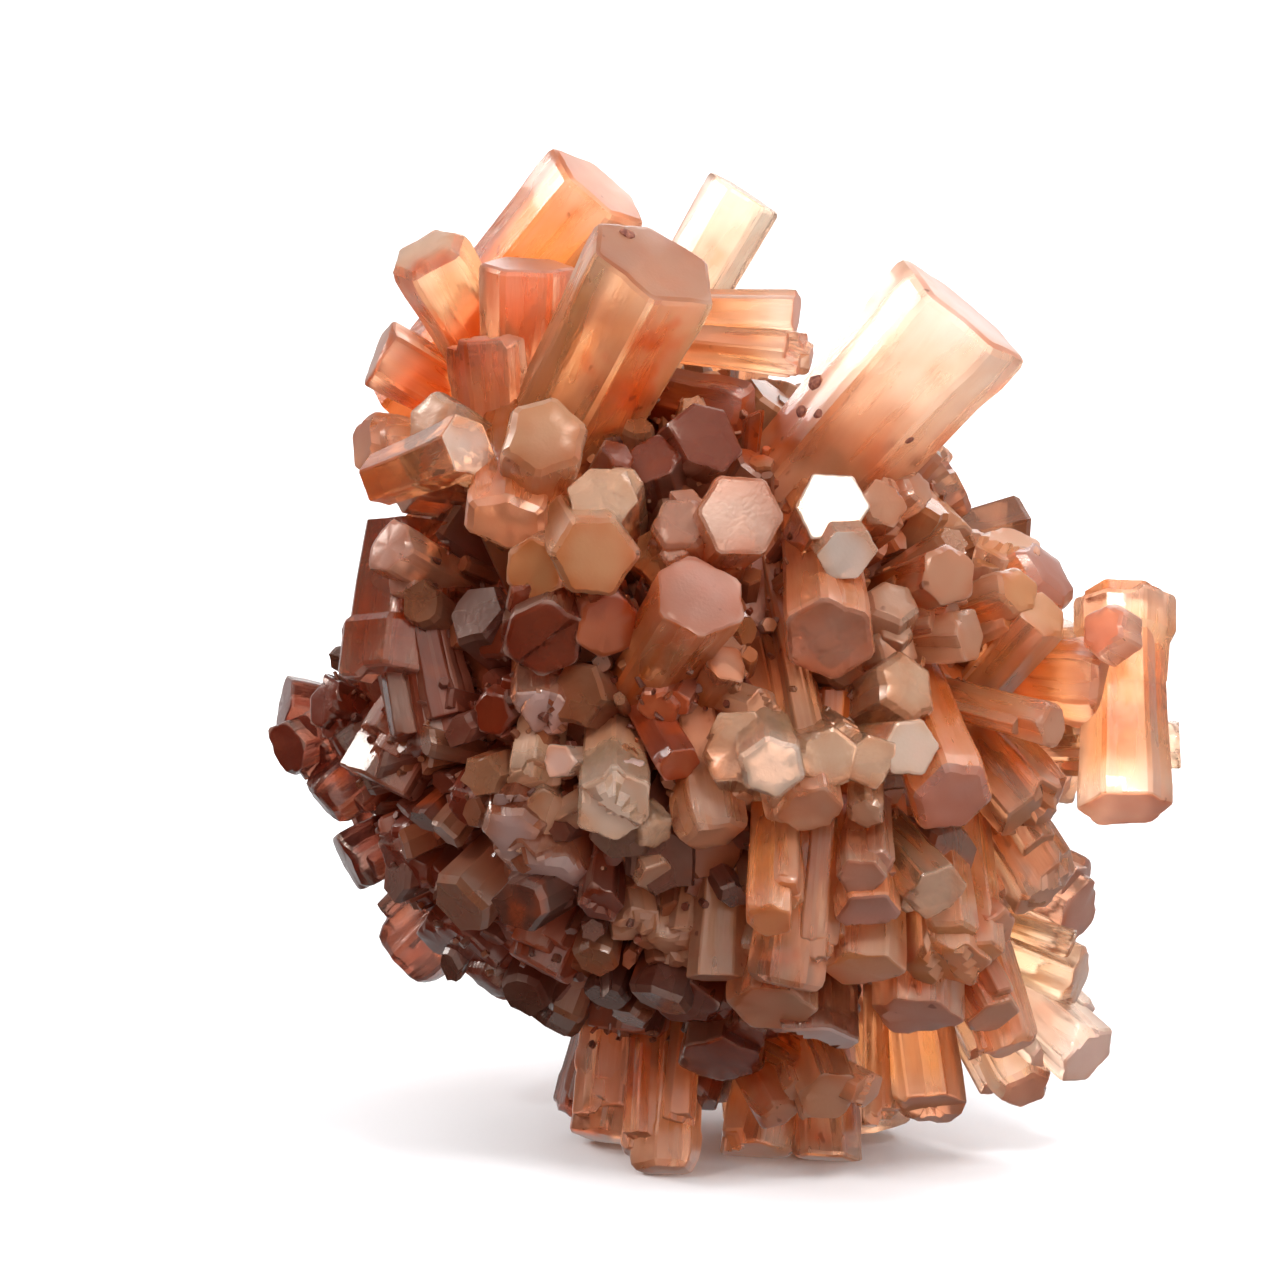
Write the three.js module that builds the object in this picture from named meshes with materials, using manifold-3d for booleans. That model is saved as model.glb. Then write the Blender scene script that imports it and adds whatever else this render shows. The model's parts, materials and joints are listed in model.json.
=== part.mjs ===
// An aragonite "sputnik": six-sided crystals grown together round one heart and pointing out all over it.
//
// Every crystal is a prism with a flat end. It is set out as seen from the front: across to the right, up,
// and near towards the viewer, in millimetres from the middle of the cluster. The finished cluster leans
// back a little and stands on the flat spot where its lowest crystals end.

import * as THREE from "three";
import { mergeVertices } from "three/addons/utils/BufferGeometryUtils.js";
import Module from "manifold-3d";

const wasm = await Module();
wasm.setup();

// The heart, and how the cluster stands on the floor (millimetres and degrees)
const HEART_RADIUS = 24.2;
const HEART_FACETING = 1;
const HEART_MIDDLE = new THREE.Vector3(-1.5, -3.2, 0);
const MIDDLE_ABOVE_FLOOR = 38.2;
const MIDDLE_PLACE = { x: -1.6, y: -0.23 };
const LEAN_BACK = 12;
const FLOOR = { side: 200, depth: 20 };

// What all the crystals share: how their roots narrow and how deep they reach, as a share of the heart's
// radius, and how uneven their six corners are
const ROOT_TAPER = 0.8;
const ROOT_DEPTH = 0.75;
const SIDES = 6;
const CORNER_PUSH = 0.09;
const CORNER_SWING = 5;
const SWING_SALT = 0.5;
const SEED_STEP = 11;

// Hand-placed crystals. Each row holds:
//   across, up, near   the middle of the end face
//   heading            the way it points as seen from the front: 0 is right and 90 is up
//   tilt               how far it turns from the viewer: 0 points at them and 90 points sideways
//   width, thick       corner to corner, and the depth of the section as a share of that
//   spin               turn of the section about its own axis
//   length             left out where the crystal simply reaches down into the heart

// The tall ones along the top
const CROWN = [
  [-8.0, 37.5, 0, 49, 70, 9.4, 0.9, 30],
  [-21.8, 32.5, 6, 120, 66, 7.0, 1.0, 30],
  [-17.1, 25.8, 13, 95, 74, 6.4, 0.9, 30],
  [-3.9, 31.4, 20, 62, 60, 11.4, 0.9, 15, 26],
  [3.4, 37.0, -6, 60, 88, 6.6, 0.8, 30],
  [-13.6, 31.2, 8, 88, 78, 8.2, 0.8, 30],
  [7.2, 27.5, 8, -2, 80, 3.9, 1.0, 30, 14],
  [8.2, 24.2, 9, -6, 78, 4.2, 1.0, 0, 14],
  [6.6, 20.6, 11, -14, 72, 5.4, 0.9, 25, 13],
  [0.2, 17.6, 21, 40, 30, 6.6, 0.9, 10, 9],
  [-4.2, 15.9, 22, 105, 35, 5.0, 1.0, 30, 9],
  [-6.6, 16.4, 24, 60, 55, 3.2, 1.0, 0, 8],
  [-25.5, 24.5, 0, 150, 76, 6.2, 0.9, 30],
  [-26.5, 17.5, 1, 165, 72, 5.6, 1.0, 0],
];

// The big slanting one at the upper right and the blunt ones below it
const SHOULDER = [
  [20.4, 27.4, 15, 48, 80, 12.8, 0.8, 30, 25],
  [16.9, 13.8, 14, 30, 65, 3.6, 1.0, 0],
  [13.8, 12.6, 23, 40, 25, 4.0, 1.0, 10],
  [9.7, 12.2, 26, 60, 20, 6.2, 1.0, 0],
  [10.9, 8.5, 28, -60, 22, 5.0, 0.9, 0],
  [9.7, 2.0, 28.5, -85, 32, 8.0, 1.0, 0],
  [2.7, 11.6, 28, 50, 18, 7.2, 1.0, 10],
  [-1.9, 11.0, 26.5, 120, 22, 5.2, 1.0, 0],
  [-0.5, 5.4, 31, 56, 37, 7.9, 1.0, 34],
];

// The short blunt ones facing the viewer at the upper left
const FACE = [
  [-18.0, 16.9, 22, 20, 38, 5.2, 1.0, 30],
  [-21.4, 19.0, 17.5, 150, 52, 5.6, 1.0, 0],
  [-12.2, 17.7, 29, 80, 18, 7.2, 1.0, 0],
  [-15.2, 10.8, 26, -95, 30, 7.4, 0.75, 0],
  [-7.9, 13.0, 28, 100, 22, 5.8, 1.0, 10],
  [-8.5, 8.3, 31, -60, 15, 7.1, 1.0, 0],
  [-13.2, 7.5, 27, -150, 25, 5.2, 1.0, 0],
  [-12.3, 2.0, 27, -100, 25, 6.8, 1.0, 0],
  [-7.5, 3.0, 27, -60, 25, 5.6, 1.0, 20],
];

// The left side, down to the broad grey face left of the middle
const LEFT_FLANK = [
  [-23.6, -1.8, 13, -96, 76, 9.6, 0.9, 20, 13],
  [-24.4, 9.3, 17.5, 150, 42, 4.8, 0.9, 10],
  [-23.1, 14.5, 11, 170, 60, 5.2, 1.0, 30],
  [-25.3, -9.3, 8, -121, 84, 6.8, 0.9, 30],
  [-19.9, -6.6, 14.5, -78, 76, 6.6, 0.9, 30, 11],
  [-29.8, -2.7, 4, 160, 45, 4.6, 1.0, 0],
  [-28.5, -7.0, 3, -145, 80, 5.2, 1.0, 30],
  [-32.9, -3.0, -4, 170, 75, 4.8, 1.0, 0],
  [-32.7, -6.6, -2, 200, 55, 4.6, 1.0, 0],
  [-30.0, -10.8, -2, -140, 78, 5.2, 1.0, 30],
  [-23.5, -15.8, 6, -135, 62, 5.4, 0.8, 30],
  [-28.0, -15.5, -4, -150, 75, 5.4, 1.0, 0],
  [-22.6, -18.1, 0, -125, 75, 4.4, 1.0, 0],
  [-16.2, -19.2, 12, -132, 80, 6.4, 0.7, 30],
  [-14.9, -13.0, 21.5, -110, 40, 5.4, 1.0, 0],
  [-12.3, -16.4, 20, -93, 58, 8.1, 0.9, 30],
  [-12.3, -11.6, 22, -90, 22, 4.8, 1.0, 0],
  [-13.2, -9.1, 22, -98, 62, 5.0, 1.0, 0],
  [-12.2, -3.9, 24, -88, 38, 4.3, 1.0, 30],
  [-11.3, -7.3, 27, 180, 20, 2.9, 1.0, 0],
  [-7.0, -11.1, 29, -90, 32, 6.4, 1.0, 0],
  [-5.2, -8.3, 28, 30, 40, 3.6, 1.0, 0],
  [-3.7, -13.0, 26, -50, 45, 3.5, 1.0, 30],
];

// The ones pointing down in front
const BELLY = [
  [0.6, -13.2, 26, -82, 62, 6.0, 0.9, 30],
  [4.8, -19.5, 30, -92, 50, 4.3, 1.0, 0],
  [6.1, -24.7, 23, -97, 84, 5.9, 0.9, 30],
  [-2.8, -22.6, 18, -100, 68, 5.7, 0.9, 30],
  [0.9, -24.1, 20, -93, 80, 4.8, 1.0, 30, 14],
  [-12.7, -23.7, 12, -116, 82, 5.9, 0.9, 30],
  [-17.0, -25.0, 4, -125, 78, 4.4, 1.0, 30],
  [-20.6, -21.8, 2, -125, 72, 5.2, 1.0, 0],
  [-1.9, -26.1, 14, -110, 55, 6.8, 0.9, 0],
  [5.2, -26.5, 20, -90, 55, 6.8, 0.9, 30],
  [7.7, -29.4, 16, -88, 66, 8.9, 0.9, 30],
  [12.2, -23.5, 22, -92, 62, 6.7, 0.9, 30],
  [18.8, -24.0, 20, -85, 60, 6.9, 1.0, 30],
  [16.5, -27.3, 16, -90, 65, 7.5, 0.9, 30],
  [12.6, -19.2, 26, -85, 42, 5.5, 0.9, 30],
  [11.9, -16.2, 28, -90, 30, 4.1, 0.9, 30],
  [17.9, -17.5, 26, -50, 38, 5.3, 1.0, 0],
];

// The pale ones right of the middle
const RIGHT_CHEEK = [
  [5.0, -8.0, 33, -80, 20, 5.5, 1.0, 0],
  [2.4, -6.2, 28.5, 120, 22, 6.3, 1.0, 0],
  [9.4, -7.1, 31, -40, 18, 5.3, 1.0, 0],
  [12.7, -7.3, 30, -20, 20, 4.5, 1.0, 0],
  [8.1, -11.2, 30, -80, 48, 5.7, 1.0, 30],
  [15.7, -6.2, 29, 0, 22, 4.9, 1.0, 0],
  [15.7, -1.5, 26, 30, 32, 6.3, 0.9, 0],
  [19.2, -10.5, 27, -70, 40, 7.2, 1.0, 0],
  [12.3, -11.4, 27.5, -90, 34, 3.5, 1.0, 0],
  [26.4, -12.0, 16, -50, 65, 7.3, 0.9, 30],
  [27.0, -17.9, 13, -58, 62, 6.7, 0.9, 30],
  [29.5, -19.3, 1, -28, 70, 6.2, 1.0, 0],
];

// The right side, with the upright one at its edge and the low ones round towards the back
const RIGHT_FLANK = [
  [32.7, -11.1, 13, -90, 68, 8.0, 0.9, 30, 18.2],
  [30.7, 3.0, 15, 150, 35, 4.7, 1.0, 0],
  [31.5, -1.5, 11, -5, 68, 7.2, 0.9, 30],
  [27.0, -4.6, 21, -15, 58, 4.1, 1.0, 0],
  [27.0, 7.5, 9, 38, 66, 7.2, 0.9, 0],
  [23.8, 9.8, 8, 75, 68, 5.5, 1.0, 0],
  [24.5, 5.8, 17, 20, 42, 4.5, 1.0, 0],
  [26.3, 4.0, 16, 50, 55, 4.9, 1.0, 30],
  [18.8, 7.1, 23, 20, 28, 5.3, 1.0, 0],
  [14.5, 5.2, 24, 70, 42, 4.9, 1.0, 30],
  [20.5, 2.4, 21, 5, 60, 4.6, 1.0, 0],
  [15.0, 1.6, 23.5, 20, 40, 4.4, 1.0, 20],
  [37.2, -6.2, 0, 0, 85, 4.0, 1.0, 0],
  [22.8, 8.2, -3, 27, 92, 7.4, 0.9, 30],
  [27.0, 4.6, -6, 16, 99, 8.0, 0.9, 10],
  [30.5, 0.0, -9, 2, 103, 8.2, 0.9, 15],
  [24.5, 5.8, -14, 22, 118, 8.6, 0.9, 0],
  [29.5, -7.5, -5, -10, 98, 7.6, 0.9, 0],
];

// Little ones that fill in between the others
const BETWEEN = [
  [-1.9, -7.6, 27, -60, 45, 3.6, 1.0, 0, 8],
  [-3.6, -3.4, 25.5, -120, 35, 3.8, 1.0, 10, 8],
  [1.8, 0.2, 26, 60, 35, 3.6, 1.0, 0, 8],
  [4.6, -3.4, 27, -20, 35, 3.4, 1.0, 0, 8],
  [-16.6, 2.4, 21, 180, 40, 4.4, 1.0, 0, 8],
  [-16.4, -3.6, 21, -150, 35, 4.0, 1.0, 20, 8],
  [-18.4, -11.4, 17, -120, 55, 4.6, 1.0, 0, 9],
  [-8.0, -18.6, 21.5, -95, 50, 3.8, 1.0, 30, 8],
  [-5.2, -20.8, 19, -80, 55, 4.2, 1.0, 0, 8],
  [-3.6, -16.2, 24, -60, 50, 3.4, 1.0, 20, 8],
  [22.4, -27.2, 14, -60, 60, 4.6, 1.0, 0, 9],
  [22.6, -20.6, 18, -40, 55, 4.4, 1.0, 0, 9],
];

// The lower right edge
const FOOT = [
  [29.4, -24.1, 4, -22, 72, 5.3, 1.0, 0],
  [30.0, -30.6, 2, -42, 65, 5.9, 1.0, 30],
  [25.2, -33.3, 0, -62, 55, 5.1, 1.0, 30],
  [24.0, -29.8, 9, -75, 78, 4.2, 1.0, 30, 18],
  [12.9, -33.0, 11, -25, 62, 3.4, 1.0, 0, 8],
  [17.7, -35.0, 0, -82, 72, 6.5, 0.9, 30],
  [13.9, -35.9, -1, -90, 78, 3.6, 1.0, 0],
  [9.8, -33.5, 11, -70, 42, 5.1, 1.0, 0],
  [9.5, -38.8, -2, -88, 76, 6.4, 0.9, 30],
  [4.0, -38.2, -2, -100, 72, 6.4, 0.9, 0],
  [5.9, -35.0, 8, -60, 50, 3.9, 1.0, 0],
  [1.3, -30.8, 10, -100, 52, 7.3, 0.9, 0],
  [-0.8, -34.0, 2, -110, 62, 4.0, 1.0, 0],
];

// The ones it stands on
const STAND = [
  [-7.6, -37.2, -6, -98, 80, 7.0, 0.9, 10],
  [-4.5, -36.2, -14, -95, 108, 6.2, 1.0, 30],
  [5.0, -36.6, -12, -85, 106, 7.4, 0.9, 20],
  [13.5, -36.2, -10, -75, 100, 6.0, 1.0, 0],
  [-9.4, -35.6, -11, -104, 100, 5.6, 1.0, 30],
  [-3.0, -39.6, 3, -94, 78, 5.8, 1.0, 20],
];

const PLACED = [
  ...CROWN,
  ...SHOULDER,
  ...FACE,
  ...LEFT_FLANK,
  ...BELLY,
  ...RIGHT_CHEEK,
  ...RIGHT_FLANK,
  ...BETWEEN,
  ...FOOT,
  ...STAND,
];

// The rest of the ball follows a rule: points are spread evenly over a sphere, and a crystal grows out of
// the heart through each one. They are long behind, and short in a belt round the sides, under the
// hand-placed ones in front.
const SPREAD_POINTS = 82;
const FIRST_TURN = 330;
const BELT = { back: -0.19, front: 0.3 };
const LONG = { across: 30, up: 31.5, near: 33, smallest: 6.4, widest: 12 };
const SHORT = { across: 26, up: 26, near: 26, smallest: 6, widest: 9 };
const MOSTLY_SMALL = 1.5;
const UNEVEN_REACH = 0.1;
const UNEVEN_LEAN = 6;
const THICK = { middle: 0.9, uneven: 0.1 };
const SPREAD_SEED_STEP = 7;
const SALT = { reach: 0.1, heading: 0.2, tilt: 0.3, width: 0.4, thick: 0.6, spin: 0.7 };

const WAVE_STEP = 12.9898;
const WAVE_HEIGHT = 43758.5453;

const radians = (degrees) => (degrees * Math.PI) / 180;
const degrees = (radians) => (radians * 180) / Math.PI;

// A number from 0 to 1 that is always the same for the same seed.
function chance(seed) {
  const wave = Math.sin(seed * WAVE_STEP) * WAVE_HEIGHT;
  return wave - Math.floor(wave);
}

// The three axes of a crystal as seen from the front: where it points, and the two axes of its section.
function axesOf(heading, tilt) {
  const turn = radians(heading);
  const away = radians(tilt);
  const side = new THREE.Vector3(-Math.sin(turn), Math.cos(turn), 0);
  const along = new THREE.Vector3(Math.cos(turn), Math.sin(turn), 0).multiplyScalar(Math.sin(away));
  along.z = Math.cos(away);
  const depth = side.clone().cross(along);
  return { along, depth, side };
}

// The six-sided section, a little uneven as in a grown crystal.
function sectionOf(width, thick, spin, seed) {
  const section = new THREE.Shape();
  for (let corner = 0; corner < SIDES; corner++) {
    const push = 1 + CORNER_PUSH * (2 * chance(seed + corner) - 1);
    const swing = CORNER_SWING * (2 * chance(seed + corner + SWING_SALT) - 1);
    const angle = radians(spin + swing + (360 * corner) / SIDES);
    const x = (width / 2) * push * thick * Math.cos(angle);
    const y = (width / 2) * push * Math.sin(angle);
    if (corner === 0) section.moveTo(x, y);
    else section.lineTo(x, y);
  }
  section.closePath();
  return section;
}

function solidOf(geometry) {
  const bare = geometry.index ? geometry.toNonIndexed() : geometry.clone();
  bare.deleteAttribute("normal");
  bare.deleteAttribute("uv");
  const merged = mergeVertices(bare, 1e-4);
  return new wasm.Manifold(
    new wasm.Mesh({
      numProp: 3,
      vertProperties: merged.attributes.position.array,
      triVerts: new Uint32Array(merged.index.array),
    }),
  );
}

// How long a crystal is from its end face to its root: it starts where it passes nearest to the heart's
// middle, or where it has gone deep enough into the heart.
function lengthToHeart(end, along) {
  const out = end.clone().sub(HEART_MIDDLE);
  const nearest = out.dot(along);
  const off = Math.sqrt(Math.max(out.lengthSq() - nearest * nearest, 0));
  const deep = ROOT_DEPTH * HEART_RADIUS;
  return off < deep ? nearest - Math.sqrt(deep * deep - off * off) : nearest;
}

// One crystal: the section drawn out to its length, narrower at the root, and turned the way it grew.
function crystal([across, up, near, heading, tilt, width, thick, spin, ownLength], seed) {
  const { along, depth, side } = axesOf(heading, tilt);
  const end = new THREE.Vector3(across, up, near);
  const length = ownLength ?? lengthToHeart(end, along);
  const geometry = new THREE.ExtrudeGeometry(sectionOf(width, thick, spin, seed), {
    depth: length,
    bevelEnabled: false,
  });
  const place = geometry.attributes.position;
  for (let i = 0; i < place.count; i++) {
    if (place.getZ(i) > length / 2) continue;
    place.setX(i, place.getX(i) * ROOT_TAPER);
    place.setY(i, place.getY(i) * ROOT_TAPER);
  }
  const root = end.clone().addScaledVector(along, -length);
  geometry.applyMatrix4(new THREE.Matrix4().makeBasis(depth, side, along).setPosition(root));
  return solidOf(geometry);
}

// The row of a crystal that grows straight out of the heart through a point of the unit sphere.
function grownThrough(point, seed) {
  const size = point.z < BELT.back ? LONG : SHORT;
  const uneven = (salt, most) => most * (2 * chance(seed + salt) - 1);
  const far = size === LONG ? 1 + uneven(SALT.reach, UNEVEN_REACH) : 1;
  return [
    HEART_MIDDLE.x + size.across * point.x * far,
    HEART_MIDDLE.y + size.up * point.y * far,
    HEART_MIDDLE.z + size.near * point.z * far,
    degrees(Math.atan2(point.y, point.x)) + uneven(SALT.heading, UNEVEN_LEAN),
    degrees(Math.acos(point.z)) + uneven(SALT.tilt, UNEVEN_LEAN),
    size.smallest + (size.widest - size.smallest) * chance(seed + SALT.width) ** MOSTLY_SMALL,
    THICK.middle + uneven(SALT.thick, THICK.uneven),
    (360 / SIDES) * chance(seed + SALT.spin),
  ];
}

function spreadRows() {
  const golden = Math.PI * (3 - Math.sqrt(5));
  const rows = [];
  for (let i = 0; i < SPREAD_POINTS; i++) {
    const z = (2 * (i + 0.5)) / SPREAD_POINTS - 1;
    const ring = Math.sqrt(1 - z * z);
    const turn = radians(FIRST_TURN) + golden * i;
    const point = new THREE.Vector3(ring * Math.cos(turn), ring * Math.sin(turn), z);
    if (z < BELT.front) rows.push(grownThrough(point, i * SPREAD_SEED_STEP));
  }
  return rows;
}

// The heart and all the crystals joined. Any hollow sealed up between them is left filled in.
function grownTogether() {
  const heart = new THREE.IcosahedronGeometry(HEART_RADIUS, HEART_FACETING);
  heart.translate(...HEART_MIDDLE);
  const rows = [...PLACED, ...spreadRows()];
  const crystals = rows.map((row, i) => crystal(row, i * SEED_STEP));
  const whole = wasm.Manifold.union([solidOf(heart), ...crystals]);
  const pieces = whole.decompose();
  return pieces.reduce((biggest, piece) => (piece.volume() > biggest.volume() ? piece : biggest));
}

// From the front view's axes to the finished place: leant back over the floor, with the front towards -Y.
function standingPlace() {
  const lean = radians(LEAN_BACK);
  const across = new THREE.Vector3(1, 0, 0);
  const up = new THREE.Vector3(0, Math.sin(lean), Math.cos(lean));
  const near = new THREE.Vector3(0, -Math.cos(lean), Math.sin(lean));
  const place = new THREE.Matrix4().makeBasis(across, up, near);
  return place.setPosition(MIDDLE_PLACE.x, MIDDLE_PLACE.y, MIDDLE_ABOVE_FLOOR);
}

// The lowest crystals end level with the floor, which makes the small flat spot that it stands on.
function withFlatSpot(solid) {
  const floor = new THREE.BoxGeometry(FLOOR.side, FLOOR.side, FLOOR.depth);
  floor.translate(0, 0, -FLOOR.depth / 2);
  return solid.subtract(solidOf(floor));
}

function geometryOf(solid) {
  const mesh = solid.getMesh();
  const geometry = new THREE.BufferGeometry();
  geometry.setAttribute("position", new THREE.BufferAttribute(mesh.vertProperties, mesh.numProp));
  geometry.setIndex(new THREE.BufferAttribute(mesh.triVerts, 1));
  return geometry;
}

const standing = grownTogether().transform(standingPlace().toArray());
const aragonite = new THREE.MeshStandardMaterial({ color: 0xd98a55, roughness: 0.35, metalness: 0 });
const crystals = new THREE.Mesh(geometryOf(withFlatSpot(standing)), aragonite);
crystals.name = "crystal_cluster";

const sputnik = new THREE.Group();
sputnik.add(crystals);

export default sputnik;
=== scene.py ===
import json
import math

import bmesh
import bpy
import numpy as np
from mathutils import Matrix, Vector
from mathutils.bvhtree import BVHTree
from mathutils.noise import noise_vector, seed_set

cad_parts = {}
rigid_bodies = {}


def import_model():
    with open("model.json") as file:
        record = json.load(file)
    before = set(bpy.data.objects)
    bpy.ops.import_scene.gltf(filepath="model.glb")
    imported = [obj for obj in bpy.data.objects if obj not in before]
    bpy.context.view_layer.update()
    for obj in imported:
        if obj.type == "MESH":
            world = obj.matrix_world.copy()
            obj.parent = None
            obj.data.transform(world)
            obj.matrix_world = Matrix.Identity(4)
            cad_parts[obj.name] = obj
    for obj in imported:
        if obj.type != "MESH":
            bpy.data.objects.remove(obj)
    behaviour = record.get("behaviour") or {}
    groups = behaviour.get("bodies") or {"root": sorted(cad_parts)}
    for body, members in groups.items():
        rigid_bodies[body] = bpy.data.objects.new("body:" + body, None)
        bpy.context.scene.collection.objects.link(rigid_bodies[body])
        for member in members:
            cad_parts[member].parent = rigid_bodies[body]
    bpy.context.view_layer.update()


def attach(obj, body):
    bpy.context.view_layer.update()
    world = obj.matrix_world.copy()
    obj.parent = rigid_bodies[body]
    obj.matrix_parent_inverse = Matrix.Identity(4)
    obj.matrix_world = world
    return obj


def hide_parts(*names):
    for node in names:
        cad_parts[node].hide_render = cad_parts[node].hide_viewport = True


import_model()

# ---- Crystals ----
# Stout six-sided crystals of aragonite, each made of three twins and stained orange to brown by iron; the
# darkest brown, in hollows and on the lower left, is partly painted shade. They grew out of one heart in
# every direction and ran together at their roots, so they are one piece.
#
# Each row gives one crystal, in millimetres and degrees, as seen from the front: its tone, the middle of
# its end face across, up and near, its heading and tilt, its width, its thickness as a share of that, the
# turn of its section, and its own length, or None where it reaches the heart. Some rows add how the end is
# finished. A heading of 0 is right and 90 is up. A tilt of 0 is at the viewer and 90 is sideways.
crown = [
    ("amber", -8.0, 37.5, 0, 49, 70, 9.4, 0.9, 30, None, "level"),
    ("glassy", -21.8, 32.5, 6, 120, 66, 7.0, 1.0, 30, None, "round"),
    ("rose", -17.1, 25.8, 13, 95, 74, 6.4, 0.9, 30, None, "broken"),
    ("apricot", -3.9, 31.4, 20, 62, 60, 11.4, 0.9, 15, 26, "level"),
    ("clear", 3.4, 37.0, -6, 60, 84, 6.6, 0.8, 30, None, "level"),
    ("rose", -13.6, 31.2, 8, 88, 78, 8.2, 0.8, 30, None, "level"),
    ("peach", 7.2, 27.5, 8, -2, 80, 3.9, 1.0, 30, 14, "level"),
    ("peach", 8.2, 24.2, 9, -6, 78, 4.2, 1.0, 0, 14),
    ("russet", 3.4, 19.4, 11, -14, 72, 5.0, 0.9, 25, 11),
    ("umber", 0.2, 17.6, 21, 40, 30, 6.6, 0.9, 10, 9, "level"),
    ("umber", -4.2, 15.9, 22, 105, 35, 5.0, 1.0, 30, 9),
    ("umber", -6.6, 16.4, 24, 60, 55, 3.2, 1.0, 0, 8),
    ("amber", -25.5, 24.5, 0, 150, 76, 6.2, 0.9, 30, None),
    ("amber", -26.5, 17.5, 1, 165, 72, 5.6, 1.0, 0, None),
]
shoulder = [
    ("cream", 20.4, 27.4, 15, 48, 80, 12.8, 0.8, 30, 25, "level"),
    ("amber", 16.9, 13.8, 14, 30, 65, 3.6, 1.0, 0, None),
    ("amber", 13.8, 12.6, 23, 40, 25, 4.0, 1.0, 10, None),
    ("glint", 9.7, 12.2, 26, 60, 20, 6.2, 1.0, 0, None, "level"),
    ("glint", 10.9, 8.5, 28, -60, 22, 5.0, 0.9, 0, None, "level"),
    ("rosy", 9.7, 2.0, 28.5, -85, 32, 8.0, 1.0, 0, None, "level"),
    ("rosy", 2.7, 11.6, 28, 50, 18, 7.2, 1.0, 10, None, "level"),
    ("rosy", -1.9, 11.0, 26.5, 120, 22, 5.2, 1.0, 0, None),
    ("mauve", -0.5, 5.4, 31, 56, 37, 7.9, 1.0, 34, None, "level"),
]
face = [
    ("glint", -18.0, 16.9, 22, 20, 38, 5.2, 1.0, 30, None, "level"),
    ("pale", -21.4, 19.0, 17.5, 150, 52, 5.6, 1.0, 0, None),
    ("beige", -12.2, 17.7, 29, 80, 18, 7.2, 1.0, 0, None, "round"),
    ("amber", -15.2, 10.8, 26, -95, 30, 7.4, 0.75, 0, None, "round"),
    ("greige", -7.9, 13.0, 28, 100, 22, 5.8, 1.0, 10, None),
    ("honey", -8.5, 8.3, 31, -60, 15, 7.1, 1.0, 0, None, "round"),
    ("honey", -13.2, 7.5, 27, -150, 25, 5.2, 1.0, 0, None),
    ("umber", -12.3, 2.0, 27, -100, 25, 6.8, 1.0, 0, None),
    ("russet", -7.5, 3.0, 27, -60, 25, 5.6, 1.0, 20, None),
]
# On the lower left the brown and umber tones are partly the crystals' own colour and partly painted shade.
left_flank = [
    ("smoky", -23.6, -1.8, 13, -96, 76, 9.6, 0.9, 20, 13, "broken"),
    ("rose", -24.4, 9.3, 17.5, 150, 42, 4.8, 0.9, 10, None),
    ("lilac", -23.1, 14.5, 11, 170, 60, 5.2, 1.0, 30, None, "level"),
    ("smoky", -25.3, -9.3, 8, -121, 84, 6.8, 0.9, 30, None),
    ("umber", -19.9, -6.6, 14.5, -78, 76, 6.6, 0.9, 30, 11),
    ("brown", -29.8, -2.7, 4, 160, 45, 4.6, 1.0, 0, None),
    ("brown", -28.5, -7.0, 3, -145, 80, 5.2, 1.0, 30, None),
    ("brown", -32.9, -3.0, -4, 170, 75, 4.8, 1.0, 0, None),
    ("brown", -32.7, -6.6, -2, 200, 55, 4.6, 1.0, 0, None),
    ("brown", -30.0, -10.8, -2, -140, 78, 5.2, 1.0, 30, None),
    ("brown", -23.5, -15.8, 6, -135, 62, 5.4, 0.8, 30, None),
    ("brown", -28.0, -15.5, -4, -150, 75, 5.4, 1.0, 0, None),
    ("brown", -22.6, -18.1, 0, -125, 75, 4.4, 1.0, 0, None),
    ("brown", -16.2, -19.2, 12, -132, 80, 6.4, 0.7, 30, None),
    ("grey", -14.9, -13.0, 21.5, -110, 40, 5.4, 1.0, 0, None),
    ("grey", -12.3, -16.4, 20, -93, 58, 8.1, 0.9, 30, None),
    ("greige", -12.3, -11.6, 22, -90, 22, 4.8, 1.0, 0, None),
    ("greige", -13.2, -9.1, 22, -98, 62, 5.0, 1.0, 0, None),
    ("grey", -12.2, -3.9, 24, -88, 38, 4.3, 1.0, 30, None),
    ("cream", -11.3, -7.3, 27, 180, 20, 2.9, 1.0, 0, None),
    ("pearl", -7.0, -11.1, 29, -90, 32, 6.4, 1.0, 0, None, "broken"),
    ("cream", -5.2, -8.3, 28, 30, 40, 3.6, 1.0, 0, None),
    ("greige", -3.7, -13.0, 26, -50, 45, 3.5, 1.0, 30, None),
]
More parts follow.
